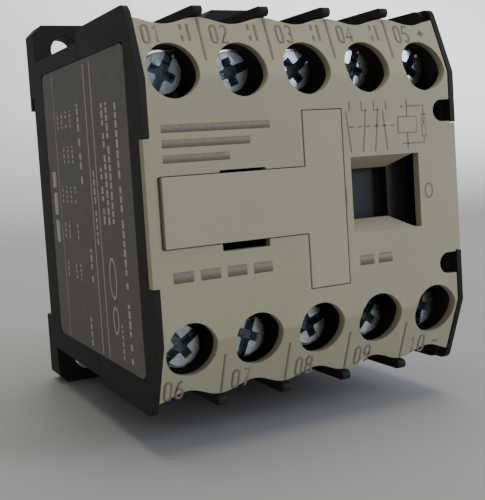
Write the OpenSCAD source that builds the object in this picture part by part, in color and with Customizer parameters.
// Control relay with ten screw terminals: housing, contact system, magnet system and rail foot.
// Inside place(), x runs to the right, y runs back from the front of the marker plate,
// and z is measured up from the middle height.

/* [Body] */
// Width of the housing
body_w = 45; // [45:0.5:46]
// Height over the four mounting ears
body_h = 58; // [58:0.5:60]
// Depth from the front face to the mounting face
body_d = 52; // [52:0.5:54]
// Depth of the joint between the front housing and the base shell
joint_y = 23.5; // [23.5:0.1:23.8]
// Height of the front housing
housing_h = 48.8; // [48.6:0.1:49]
// Height of the base shell without its ears
base_h = 46.2; // [46:0.1:46.4]
// How far the mounting end sits below the middle of the front
rear_shift = 0.4; // [0:0.05:0.5]
// Wall thickness of both mouldings
wall = 1.4; // [1.3:0.05:1.45]

/* [Front cover] */
// Depth of the cover's flat front face
cover_y = 0.4; // [0.35:0.05:0.45]
// Thickness of the cover
cover_t = 1.2; // [1:0.05:1.25]
// Half height at which the front starts to lean back
lean_z = 15.5; // [15:0.1:16]
// Angle at which the terminal rows lean back
lean_angle = 22; // [21:0.5:23]
// Half height of the cover at its crests
crest_z = 22.9; // [22.8:0.05:22.95]
// Depth of the scoops in the top edge
scoop_top = 0.85; // [0.5:0.05:1]
// Depth of the scoops in the bottom edge
scoop_bottom = 1.2; // [0.5:0.05:1.3]

/* [Terminals] */
// Distance between neighbouring terminals
pitch = 9; // [9:0.05:9.1]
// Height of each terminal row above and below the middle
row_z = 16.4; // [16.3:0.05:16.5]
// Diameter of the screwdriver holes
driver_d = 6.6; // [6:0.1:6.8]
// Diameter of the screw heads
head_d = 5.6; // [5:0.1:5.7]
// Shank diameter of the screws
screw_d = 3.5; // [3.4:0.05:3.5]
// Radial clearance of each shank in its terminal bar
screw_gap = 0.06; // [0.04:0.01:0.08]
// Depth of the screw heads when the terminals are open
head_y = 4.4; // [4.3:0.1:4.5]

/* [Switching] */
// Stroke of the contact carrier
stroke = 2.6; // [2.4:0.05:2.6]
// Diameter of the contact tips
tip_d = 2.2; // [1.8:0.1:2.4]
// Width of the contact bridges
bridge_w = 4; // [3.6:0.1:4.2]

/* [Mounting] */
// Width between the mounting holes
hole_x = 35; // [35:0.1:35.2]
// Height between the mounting holes
hole_z = 50; // [50:0.1:50.2]
// Diameter of the mounting holes
hole_d = 4.4; // [4.3:0.1:4.6]
// Thickness of the mounting ears
ear_t = 5; // [4.6:0.1:5.2]
// Width of the mounting rail
rail_w = 35; // [35:0.1:35.1]
// Travel of the rail foot
foot_stroke = 2.2; // [2:0.05:2.2]

/* [Hidden] */
$fn = 48;
cover_color = "#b4b1a4";
black_color = "#2a2926";
label_color = "#4b4748";
metal_color = "#c8c6bf";
brass_color = "#b79a5a";
copper_color = "#a4552f";

half_w = body_w / 2;
half_h = body_h / 2;
half_house = housing_h / 2;
base_top = base_h / 2 - rear_shift;
base_low = -base_h / 2 - rear_shift;
inner_x = half_w - wall;
skin = 0.75;              // side wall in front, beside the cover
gap = 0.1;                // general gap between fitted pieces
seam = 0.12;              // open joint between the two mouldings
lean = tan(lean_angle);
cover_back = cover_y + cover_t;
step_z = 8.75;            // above this the side walls frame the cover

fin_t = 1.2;
fin_top = half_house - 0.1;
fin_x = [-13.5, -4.5, 4.5, 13.5];
deck_y = 20.8;
deck_t = 1.2;
rim_z = 22.3;
chamber_z = 11.2;         // inner faces of the contact chamber
chamber_t = 1;

bar_y = 10.4;             // front face of the terminal bars
bar_t = 1.2;
bar_w = 5.8;
bar_low = 13;
bar_high = 20;
seat_y = bar_y + bar_t + gap / 2;
seat_end = 16.5;

head_t = 2.2;
shank_l = 6.4;
clamp_t = 1;
clamp_w = 5.8;

leg_t = 0.8;
leg_low = 6.4;
leg_back = 15;
tip_t = 0.5;
tip_z = 7.9;
bridge_t = 0.7;
bridge_len = 19;
bridge_y = 13;
contact_gap = 0.05;
web_t = 0.8;              // walls of the carrier that hold the contact springs

// left face of each fixed contact leg
fixed_x = [-20.9, -7.3, 2, 6.2];
// true where the contact closes when the coil pulls in
closes = [true, false, false, true];

carrier_h = 8.8;
rail_front_y = 5.4;
window_front_y = 9.8;
window_back_y = 16.2;
rail_back_y = 18.2;
knob_y = 3.7;
knob_x = 13.1;
carrier_right = 17;
tail_x = 15.4;
tail_t = 1.6;
tail_end = 33.6;
spring_axis_y = 7.6;
return_d = 2.8;
return_right = -9;
contact_spring_d = 3.4;

core_y = 31;
core_t = 10;
core_half = 17.1;
leg_inner = 13.1;
limb = 4;
yoke_left = -20.4;
core_face = -1.4;
arm_face = core_face + stroke + gap;
arm_right = 18.6;
bobbin_left = -16;
bobbin_right = 11.6;
flange_t = 1;
flange_half_z = 12.6;
flange_half_y = 10.9;
tube_half_z = 5.3;
tube_half_y = 6.3;
coil_y = core_y + core_t / 2;

rear_in = 47.6;
rail_y = 49.5;            // face that rests on the mounting rail
lip_t = 1.2;              // room for the rail's lip
hook_z = rail_w / 2 - 1.9;
lower_band = 18;
ear_in = 9.5;
ear_chamfer = 1.4;
ear_root = 20.8;

foot_half = 6.5;
foot_low = -26;
foot_top = -(rail_w / 2 - 1.9);
foot_gap = 0.15;
tongue = 0.8;
lug_z = -22.4;
lug_t = 0.5;
foot_window_top = -18.6;

terminal_leg_x = 20;      // leg of the coil terminals
terminal_leg_t = 0.7;
terminal_leg_low = 14.6;
terminal_leg_high = 16.9;
terminal_leg_end = 29;
lead_end = 19.9;          // where the leads meet that leg

winding_wire = 0.8;
lead_wire = 0.6;
part_y = 27;              // depth of the suppressor parts
part_z = -15.6;
diode_left = 4;
diode_right = 9.2;
resistor_left = -8;
resistor_right = -1.7;

label_t = 0.3;
label_recess = 0.33;
label_gap = 0.05;
label_front = 5;
label_back = 43.4;
label_half = 20.2;

window_l = 5.4;
window_r = 16.1;
window_h = 4.9;
flap_h = 3.3;
flap_back = 3.4;
flap_end = 12.8;

marker_left = -20.7;
marker_step = -1.4;
marker_right = 4.3;
arm_half = 4.15;
bar_half = 11.1;
marker_t = 1;
pry_left = -13.3;
pry_right = -6.95;

// ---- helpers ----

// column centre of terminal number 1 to 5
function column(i) = (i - 3) * pitch;

// depth of the front surface at height z
function front_y(z) = cover_y + max(0, abs(z) - lean_z) * lean;

// height of the wavy cover edge at x
function edge_z(x, depth) = crest_z - depth / 2 * (1 - cos(360 * (x - pitch / 2) / pitch));

module place() {
    translate([0, -body_d / 2, half_h + rear_shift]) children();
}

// box from its low corner to its high corner
module block(low, high) {
    translate(low) cube(high - low);
}

// box mirrored to both sides of the middle height
module block_pair(low, high) {
    for (s = [0, 1]) mirror([0, 0, s]) block(low, high);
}

// outline in y and z, extruded from x0 to x1
module along_x(x0, x1) {
    translate([x0, 0, 0]) rotate([90, 0, 90]) linear_extrude(x1 - x0) children();
}

// outline in x and z, extruded from y0 to y1
module along_y(y0, y1) {
    translate([0, y1, 0]) rotate([90, 0, 0]) linear_extrude(y1 - y0) children();
}

// cylinder along y
module rod_y(d, y0, y1) {
    translate([0, y0, 0]) rotate([-90, 0, 0]) cylinder(d = d, h = y1 - y0);
}

// cylinder along x
module rod_x(d, x0, x1) {
    translate([x0, 0, 0]) rotate([0, 90, 0]) cylinder(d = d, h = x1 - x0);
}

module round_rect(size, r) {
    square([size.x - 2 * r, size.y], center = true);
    square([size.x, size.y - 2 * r], center = true);
    for (x = [-1, 1], y = [-1, 1])
        translate([x * (size.x / 2 - r), y * (size.y / 2 - r)]) circle(r);
}

// direction of a path at point i
function heading(p, i) =
    let (v = p[min(i + 1, len(p) - 1)] - p[max(i - 1, 0)]) v / norm(v);

// round wire swept along its points
module wire(p, d) {
    sides = 8;
    reference = [0.36, 0.48, 0.8];
    points = [
        for (i = [0 : len(p) - 1])
            let (h = heading(p, i), u0 = cross(h, reference), u = u0 / norm(u0), v = cross(h, u))
                for (k = [0 : sides - 1])
                    p[i] + d / 2 * (cos(360 * k / sides) * u + sin(360 * k / sides) * v)
    ];
    walls = [
        for (i = [0 : len(p) - 2], k = [0 : sides - 1])
            let (n = (k + 1) % sides)
                [i * sides + k, (i + 1) * sides + k, (i + 1) * sides + n, i * sides + n]
    ];
    first = [for (k = [0 : sides - 1]) k];
    last = [for (k = [0 : sides - 1]) len(p) * sides - 1 - k];
    polyhedron(points = points, faces = concat(walls, [first], [last]));
}

// helical spring along z from 0 to length, as one closed sweep
module coil_spring(d, wire_d, length, turns) {
    sides = 6;
    per_turn = 14;
    rings = turns * per_turn;
    r = (d - wire_d) / 2;
    rise = (length - wire_d) / rings;
    points = [
        for (i = [0 : rings], k = [0 : sides - 1])
            let (a = 360 * i / per_turn, b = 360 * k / sides, rr = r + wire_d / 2 * cos(b))
                [rr * cos(a), rr * sin(a), wire_d / 2 + rise * i + wire_d / 2 * sin(b)]
    ];
    walls = [
        for (i = [0 : rings - 1], k = [0 : sides - 1])
            let (n = (k + 1) % sides)
                [i * sides + k, (i + 1) * sides + k, (i + 1) * sides + n, i * sides + n]
    ];
    first = [for (k = [0 : sides - 1]) k];
    last = [for (k = [0 : sides - 1]) rings * sides + sides - 1 - k];
    polyhedron(points = points, faces = concat(walls, [first], [last]));
}

// ---- outlines ----

// upper half of a front profile set back by inset, closed at the rear depth
function profile_points(inset, top, rear) =
    let (
        y0 = cover_y + inset,
        r = 1.4,
        zc = top - r,
        yc = y0 + (zc + r * sin(lean_angle) - lean_z) * lean + r * cos(lean_angle)
    )
    concat(
        [[y0, 0], [y0, lean_z]],
        [for (a = [180 - lean_angle : -(90 - lean_angle) / 5 : 89.9]) [yc + r * cos(a), zc + r * sin(a)]],
        [[rear - 0.6, top], [rear, top - 0.6], [rear, 0]]
    );

module both_halves(points) {
    polygon(points);
    mirror([0, 1]) polygon(points);
}

// bent sheet of the cover, seen from the side
module cover_section() {
    t = cover_t / cos(lean_angle);
    for (s = [0, 1]) mirror([0, s]) polygon([
        [cover_y, 0], [cover_y, lean_z], [front_y(crest_z + 1), crest_z + 1],
        [front_y(crest_z + 1) + t, crest_z + 1], [cover_back, lean_z - 0.2], [cover_back, 0]
    ]);
}

// cover outline seen from the front
module cover_outline() {
    edge_x = half_w - skin - gap;
    steps = 86;
    dx = 2 * edge_x / steps;
    polygon(concat(
        [for (i = [0 : steps]) let (x = -edge_x + i * dx) [x, edge_z(x, scoop_top)]],
        [for (i = [steps : -1 : 0]) let (x = -edge_x + i * dx) [x, -edge_z(x, scoop_bottom)]]
    ));
    square([body_w, 2 * step_z - 2 * gap], center = true);
}

module marker_outline(grow) {
    polygon([
        [marker_left - grow, -arm_half - grow], [marker_step - grow, -arm_half - grow],
        [marker_step - grow, -bar_half - grow], [marker_right + grow, -bar_half - grow],
        [marker_right + grow, bar_half + grow], [marker_step - grow, bar_half + grow],
        [marker_step - grow, arm_half + grow], [marker_left - grow, arm_half + grow]
    ]);
}

module fin_outline() {
    inset = cover_back + 0.2;
    polygon([
        [inset, chamber_z + chamber_t / 2], [inset, lean_z],
        [inset + (crest_z + 0.15 - lean_z) * lean, crest_z + 0.15],
        [4.95, fin_top], [deck_y + deck_t, fin_top], [deck_y + deck_t, chamber_z + chamber_t / 2]
    ]);
    translate([3.4, fin_top - 0.6]) circle(0.6);
    translate([3.4, fin_top - 1.2]) square([2.2, 1.2]);
}

// ---- mouldings ----

module side_wall() {
    along_x(half_w - skin, half_w) difference() {
        both_halves(profile_points(-0.1, half_house, joint_y));
        translate([-1, -step_z]) square([cover_back + gap / 2 + 1, 2 * step_z]);
    }
    along_x(inner_x, half_w - skin + 0.01)
        both_halves(profile_points(cover_t + 0.15, half_house, joint_y));
}

module terminal_slots(i) {
    for (s = [0, 1]) mirror([0, 0, s]) {
        translate([column(i), 0, row_z]) rod_y(4.4, seat_y - 1, seat_end + 1);
        if (i < 5)
            block([fixed_x[i - 1] - 0.2, bar_y - 0.5, chamber_z - 1],
                  [fixed_x[i - 1] + leg_t + 0.2, leg_back + 0.4, bar_low + 1.2]);
        else
            block([terminal_leg_x - 0.2, bar_y - 0.5, terminal_leg_low - 0.4],
                  [terminal_leg_x + terminal_leg_t + 0.2, joint_y + 1, terminal_leg_high + 0.4]);
    }
}

module front_housing() {
    place() color(black_color) difference() {
        union() {
            for (s = [0, 1]) mirror([s, 0, 0]) side_wall();
            for (s = [0, 1]) mirror([0, 0, s]) {
                for (x = fin_x) along_x(x - fin_t / 2, x + fin_t / 2) fin_outline();
                block([-inner_x - 0.2, cover_back + 0.3, chamber_z],
                      [inner_x + 0.2, deck_y + 0.2, chamber_z + chamber_t]);
                block([-inner_x - 0.2, seat_y, bar_low + 0.6],
                      [inner_x + 0.2, seat_end, bar_high + 0.6]);
            }
            block([-inner_x - 0.2, deck_y, -rim_z], [inner_x + 0.2, deck_y + deck_t, rim_z]);
            // rim that closes the joint with the base shell
            block_pair([-inner_x - 0.2, deck_y, rim_z - 0.9], [inner_x + 0.2, joint_y, rim_z]);
            // ribs that guide the carrier
            block_pair([-20, rail_back_y + 0.3, 1], [12, deck_y + 0.2, 2.2]);
        }
        for (i = [1 : 5]) terminal_slots(i);
        // slot for the carrier's tail
        block([tail_x - stroke - 0.3, deck_y - 1, -3.4], [tail_x + tail_t + 0.3, deck_y + deck_t + 1, 3.4]);
        // notches for the cover's hooks
        for (x = [-12, 12]) block_pair([x - 1.8, 5.1, chamber_z - 0.5], [x + 1.8, 7, chamber_z + 0.7]);
        // recess for the side label
        label_pocket();
    }
}

module label_pocket() {
    block([-half_w - 1, label_front - label_gap, -label_half - label_gap],
          [-half_w + label_recess, label_back + label_gap, label_half + label_gap]);
}

module ear() {
    difference() {
        along_y(body_d - ear_t, body_d) polygon([
            [ear_in, ear_root], [half_w, ear_root], [half_w, half_h - ear_chamfer],
            [half_w - ear_chamfer, half_h], [ear_in + 1, half_h], [ear_in, half_h - 1]
        ]);
        translate([hole_x / 2, 0, hole_z / 2]) rod_y(hole_d, body_d - ear_t - 1, body_d + 1);
    }
}

// solids behind the box of the shell, measured from the middle of the mounting end
module mounting_end() {
    top = base_top + rear_shift;
    low = base_low + rear_shift;
    block([-half_w, rail_y - 0.1, rail_w / 2 + 0.1], [half_w, body_d, top]);
    block([-half_w, rail_y + lip_t, hook_z], [half_w, body_d, rail_w / 2 + 0.2]);
    block([-half_w, rail_y - 0.1, low], [half_w, body_d, -lower_band]);
    for (s = [0, 1], t = [0, 1]) mirror([s, 0, 0]) mirror([0, 0, t]) ear();
}

module foot_channel() {
    block([-foot_half - foot_gap, rail_y, -half_h],
          [foot_half + foot_gap, body_d + 1, -lower_band + 1]);
    block([-foot_half - tongue - foot_gap, rail_y + 0.7, -half_h],
          [foot_half + tongue + foot_gap, rail_y + 1.7, -lower_band + 1]);
}

// latch that holds the front housing, upper side
module housing_latch(root) {
    low = fin_top + 0.3;
    high = fin_top + 2.4;
    along_y(19.8, joint_y + 2) polygon([
        [-4.7, low], [4.7, low], [4.7, high - 1], [3.7, high], [-3.7, high], [-4.7, high - 1]
    ]);
    block([-4.7, joint_y + seam, root - 0.5], [4.7, joint_y + 2, low + 0.1]);
}

module base_shell() {
    seat_top = -base_low - wall + 0.1;
    place() color(black_color) difference() {
        union() {
            difference() {
                block([-half_w, joint_y + seam, base_low], [half_w, rail_y, base_top]);
                block([-inner_x, joint_y - 1, base_low + wall], [inner_x, rear_in, base_top - wall]);
            }
            translate([0, 0, -rear_shift]) mounting_end();
            housing_latch(base_top);
            mirror([0, 0, 1]) housing_latch(-base_low);
            // seats for the magnet core
            block_pair([yoke_left, core_y + core_t, 13.6], [yoke_left + 8, rear_in + 0.1, 16.6]);
            block_pair([yoke_left, joint_y + 3, 18], [yoke_left + 8, core_y + core_t, base_top - wall + 0.1]);
            block([yoke_left, joint_y + 3, -seat_top], [yoke_left + 8, core_y + core_t, -18]);
        }
        translate([0, 0, -rear_shift]) foot_channel();
        label_pocket();
    }
    place() color(black_color)
        block([-1, rail_y - 0.1, lug_z - rear_shift], [1, body_d - 0.3, lug_z + lug_t - rear_shift]);
}

module window_flap() {
    along_x(window_l, window_r) polygon([
        [cover_y + 0.1, window_h], [flap_back, flap_h], [flap_back, flap_h + 1],
        [cover_back, window_h + 0.9], [cover_y + 0.3, window_h + 0.9]
    ]);
}

module cover_hook(x) {
    block([x - 1.5, cover_back - 0.1, chamber_z - 1.1], [x + 1.5, 6.4, chamber_z - gap]);
    block([x - 1.5, 5.4, chamber_z - 0.3], [x + 1.5, 6.4, chamber_z + 0.5]);
}

module front_cover() {
    place() color(cover_color) difference() {
        union() {
            difference() {
                intersection() {
                    along_x(-half_w, half_w) cover_section();
                    along_y(-1, 12) cover_outline();
                }
                block([window_l, -1, -window_h], [window_r, 3, window_h]);
            }
            for (s = [0, 1]) mirror([0, 0, s]) {
                window_flap();
                for (x = [-12, 12]) cover_hook(x);
            }
        }
        // flared right end of the window
        along_y(-1, 6) polygon([
            [flap_end, -flap_h], [window_r - 0.85, -window_h], [window_r, -window_h],
            [window_r, window_h], [window_r - 0.85, window_h], [flap_end, flap_h]
        ]);
        for (i = [1 : 5], s = [-1, 1])
            translate([column(i), 0, s * row_z]) rod_y(driver_d, -1, 6);
        // round notches at the right edge
        for (s = [-1, 1]) translate([20.35, 0, s * 10.35]) {
            rod_y(2.9, -1, 4);
            block([0, -1, -1.45], [2, 4, 1.45]);
        }
        // pocket and prying slots of the marker plate
        along_y(-1, cover_y + 0.65) marker_outline(gap);
        block([marker_left - 0.35, -1, -arm_half], [marker_left, cover_y + 0.65, arm_half]);
        block([pry_left, -1, -arm_half - 1], [pry_right, 3, -2.8]);
        block([pry_left + 0.2, -1, 2.8], [pry_right, 3, arm_half + 0.35]);
    }
}

module marker_plate() {
    slope = atan2(cover_y, marker_right - marker_left);
    place() color(cover_color) difference() {
        union() {
            along_y(0, marker_t) marker_outline(0);
            block_pair([pry_left + 0.6, marker_t - 0.1, 2.95], [pry_right - 0.6, 3.2, 3.85]);
        }
        translate([marker_left, 0, 0]) rotate([0, 0, slope]) block([-1, -3, -15], [30, 0, 15]);
    }
}

module side_label() {
    size = [label_back - label_front, 2 * label_half];
    place() color(label_color)
        translate([-half_w + label_recess - label_t, (label_front + label_back) / 2, 0])
            rotate([90, 0, 90]) linear_extrude(label_t) round_rect(size, 1.3);
}

// ---- contact system ----

// faces of a bridge at rest, measured along x
function bridge_left(i) = closes[i]
    ? fixed_x[i] + leg_t + 2 * tip_t + contact_gap + stroke
    : fixed_x[i] - 2 * tip_t - contact_gap - bridge_t;
function web_x(i) = closes[i] ? bridge_left(i) + bridge_t + 2.95 : bridge_left(i) - 2.95 - web_t;
function stop_x(i) = closes[i]
    ? bridge_left(i) - contact_gap - web_t
    : bridge_left(i) + bridge_t + contact_gap;

module contact_carrier() {
    half = carrier_h / 2;
    left = stop_x(0);
    place() color(black_color) difference() {
        union() {
            block([left, rail_front_y, -half], [carrier_right, window_front_y, half]);
            block([left, window_back_y, -half], [carrier_right, rail_back_y, half]);
            for (i = [0 : 3]) {
                for (x = [web_x(i), stop_x(i)])
                    block([x, window_front_y - 0.1, -half], [x + web_t, window_back_y + 0.1, half]);
            }
            block([knob_x, knob_y, -4.4], [carrier_right - 0.4, rail_front_y + 0.1, 4.4]);
            block([tail_x, rail_back_y - 0.1, -3], [tail_x + tail_t, tail_end, 3]);
        }
        translate([0, spring_axis_y, 0]) rod_x(return_d + 0.6, left - 1, return_right);
    }
}

module bridge(i) {
    x = bridge_left(i);
    tip_x = closes[i] ? x - tip_t : x + bridge_t;
    place() color(brass_color) {
        block([x, bridge_y - bridge_w / 2, -bridge_len / 2],
              [x + bridge_t, bridge_y + bridge_w / 2, bridge_len / 2]);
        for (s = [-1, 1]) translate([0, bridge_y, s * tip_z]) rod_x(tip_d, tip_x, tip_x + tip_t);
    }
}

module contact_spring(i) {
    start = closes[i] ? bridge_left(i) + bridge_t + 0.02 : web_x(i) + web_t + 0.02;
    place() color(metal_color) translate([start, bridge_y, 0]) rotate([0, 90, 0])
        coil_spring(contact_spring_d, 0.35, 2.91, 4);
}

module return_spring() {
    place() color(metal_color) translate([-inner_x + 0.05, spring_axis_y, 0]) rotate([0, 90, 0])
        coil_spring(return_d, 0.4, inner_x + return_right - 0.1, 7);
}

// terminal bar with its fixed contact, upper side
module fixed_contact(i) {
    x = column(i + 1);
    fx = fixed_x[i];
    tip_x = closes[i] ? fx + leg_t : fx - tip_t;
    difference() {
        union() {
            block([x - bar_w / 2, bar_y, bar_low], [x + bar_w / 2, bar_y + bar_t, bar_high]);
            block([fx, bar_y, leg_low], [fx + leg_t, leg_back, bar_low + 0.5]);
        }
        translate([x, 0, row_z]) rod_y(screw_d + 2 * screw_gap, bar_y - 1, bar_y + bar_t + 1);
    }
    translate([0, bridge_y, tip_z]) rod_x(tip_d, tip_x, tip_x + tip_t);
}

module contact_top(i) {
    place() color(brass_color) fixed_contact(i);
}

module contact_bottom(i) {
    place() color(brass_color) mirror([0, 0, 1]) fixed_contact(i);
}

module coil_terminal(s) {
    x = column(5);
    place() color(metal_color) mirror([0, 0, s]) difference() {
        union() {
            block([x - bar_w / 2, bar_y, bar_low], [x + bar_w / 2, bar_y + bar_t, bar_high]);
            block([terminal_leg_x, bar_y, terminal_leg_low],
                  [terminal_leg_x + terminal_leg_t, terminal_leg_end, terminal_leg_high]);
        }
        translate([x, 0, row_z]) rod_y(screw_d + 2 * screw_gap, bar_y - 1, bar_y + bar_t + 1);
    }
}

// ---- terminal screws ----

module clamp(i, s) {
    y = head_y + head_t + 0.02;
    place() color(metal_color) translate([column(i), 0, s * row_z]) difference() {
        union() {
            block([-clamp_w / 2, y, -3], [clamp_w / 2, y + clamp_t, 3]);
            // side lips that keep the strands together
            for (k = [-1, 1]) translate([k * (clamp_w / 2 - 0.3), 0, 0])
                block([-0.3, y, -2.4], [0.3, y + clamp_t + 0.3, 2.4]);
        }
        rod_y(screw_d + 0.16, y - 1, y + clamp_t + 1);
    }
}

module terminal_screw(i, s) {
    place() color(metal_color) translate([column(i), 0, s * row_z]) difference() {
        union() {
            rod_y(head_d, head_y, head_y + head_t);
            rod_y(screw_d, head_y + head_t - 0.1, head_y + head_t + shank_l);
        }
        rotate([0, 25 * i + 40 * s, 0]) {
            // straight slot, cross recess and centre dimple
            block([-3, head_y - 1, -0.4], [3, head_y + 0.9, 0.4]);
            block([-1.7, head_y - 1, -0.45], [1.7, head_y + 1.3, 0.45]);
            block([-0.45, head_y - 1, -1.7], [0.45, head_y + 1.3, 1.7]);
        }
    }
}

// ---- magnet system ----

module e_shape(face, yoke0, yoke1) {
    low = min(face, yoke0);
    high = max(face, yoke1);
    block([yoke0, core_y, -core_half], [yoke1, core_y + core_t, core_half]);
    block([low, core_y, -limb], [high, core_y + core_t, limb]);
    block_pair([low, core_y, leg_inner], [high, core_y + core_t, core_half]);
}

module magnet_core() {
    place() color(metal_color) e_shape(core_face, yoke_left, yoke_left + limb);
}

module armature() {
    place() color(metal_color) difference() {
        e_shape(arm_face, arm_right - limb, arm_right);
        block([tail_x - gap, core_y - 1, -3 - gap],
              [tail_x + tail_t + gap, tail_end + gap, 3 + gap]);
    }
}

module core_pad() {
    place() color(black_color)
        block([-inner_x + 0.03, core_y, -core_half], [yoke_left - 0.03, core_y + core_t, core_half]);
}

module tube_room(grow) {
    translate([0, coil_y, 0])
        block([-25, -tube_half_y - grow, -tube_half_z - grow],
              [25, tube_half_y + grow, tube_half_z + grow]);
}

module coil_bobbin() {
    place() color("#d8d2c0") difference() {
        union() {
            for (x = [bobbin_left, bobbin_right - flange_t])
                block([x, coil_y - flange_half_y, -flange_half_z],
                      [x + flange_t, coil_y + flange_half_y, flange_half_z]);
            block([bobbin_left, coil_y - tube_half_y, -tube_half_z],
                  [bobbin_right, coil_y + tube_half_y, tube_half_z]);
        }
        block([bobbin_left - 1, core_y - 0.25, -limb - 0.25],
              [bobbin_right + 1, core_y + core_t + 0.25, limb + 0.25]);
    }
}

module coil_body(grow, low, high) {
    translate([0, coil_y, 0]) along_x(low, high) round_rect([19.6 + 2 * grow, 22.4 + 2 * grow], 3 + grow);
}

module coil_winding() {
    place() color(copper_color) difference() {
        coil_body(0, bobbin_left + flange_t + gap, bobbin_right - flange_t - gap);
        tube_room(0.05);
    }
}

module coil_tape() {
    low = bobbin_left + flange_t + 2;
    high = bobbin_right - flange_t - 2;
    place() color("#c9a93c") difference() {
        coil_body(0.3, low, high);
        coil_body(0.03, low - 1, high + 1);
    }
}

// lead from the bobbin flange to the coil terminal, side 1 above and -1 below
module coil_lead(side) {
    path = [
        [12, 26.2, 11.8], [13, 26.3, 12.6], [14.5, 26.6, 14],
        [16.5, 27.2, 15.2], [18.4, 27.8, 15.7], [lead_end, 28, 15.8]
    ];
    place() color(copper_color) wire([for (q = path) [q.x, q.y, side * q.z]], winding_wire);
}

module suppressor_diode() {
    place() color(black_color) translate([0, part_y, part_z]) rod_x(2.7, diode_left, diode_right);
}

module suppressor_resistor() {
    place() color("#5c86a0") translate([0, part_y, part_z]) rod_x(2.5, resistor_left, resistor_right);
}

module suppressor_link() {
    place() color(metal_color)
        wire([[resistor_right + 0.05, part_y, part_z], [diode_left - 0.05, part_y, part_z]], lead_wire);
}

module suppressor_lead_bottom() {
    place() color(metal_color) wire([
        [diode_right + 0.05, part_y, part_z], [11, 26.8, -16], [13.5, 26.2, -17.2],
        [17, 26, -17.4], [19, 26, -16.6], [lead_end, 26, -16.2]
    ], lead_wire);
}

// runs round the left of the magnet to the upper coil terminal
module suppressor_lead_top() {
    place() color(metal_color) wire([
        [resistor_left - 0.05, part_y, part_z], [-17, part_y, part_z],
        [-18.6, part_y, -15], [-19, part_y, -13.4],
        [-19, part_y, 15.4], [-18.6, part_y, 17], [-17, part_y, 17.5],
        [15, part_y, 17.5], [17.5, 26.5, 17.2], [19, 26, 16.6], [lead_end, 26, 16.2]
    ], lead_wire);
}

// ---- rail foot ----

module rail_foot() {
    y0 = rail_y + foot_gap;
    y1 = body_d - 0.15;
    place() color(black_color) translate([0, 0, -rear_shift]) difference() {
        union() {
            block([-foot_half, y0, foot_low], [foot_half, y1, -rail_w / 2]);
            block([-foot_half, rail_y + lip_t, -rail_w / 2 - 0.1], [foot_half, y1, foot_top]);
            block([-foot_half - tongue, rail_y + 0.85, foot_low + 4],
                  [foot_half + tongue, rail_y + 1.55, -lower_band - 0.5]);
        }
        // room for the spring and its lug
        block([-1.3, rail_y, lug_z - 0.2], [1.3, body_d + 1, foot_window_top]);
        // screwdriver slot
        block([-2.5, rail_y, foot_low + 1], [2.5, body_d + 1, foot_low + 2.3]);
    }
}

module foot_spring() {
    low = lug_z + lug_t + 0.02;
    place() color(metal_color) translate([0, (rail_y + body_d) / 2, low - rear_shift])
        coil_spring(1.9, 0.24, foot_window_top - low - 0.02, 4);
}

// ---- nodes ----

front_housing();
base_shell();
front_cover();
marker_plate();
side_label();
contact_carrier();
armature();
magnet_core();
core_pad();
coil_bobbin();
coil_winding();
coil_tape();
return_spring();
for (i = [0 : 3]) {
    bridge(i);
    contact_spring(i);
    contact_top(i);
    contact_bottom(i);
}
for (i = [1 : 5]) {
    clamp(i, 1);
    clamp(i, -1);
    terminal_screw(i, 1);
    terminal_screw(i, -1);
}
coil_terminal(0);  // coil_terminal_top
coil_terminal(1);  // coil_terminal_bottom
coil_lead(1);  // coil_lead_top
coil_lead(-1);  // coil_lead_bottom
suppressor_diode();
suppressor_resistor();
suppressor_link();
suppressor_lead_top();
suppressor_lead_bottom();
rail_foot();
foot_spring();
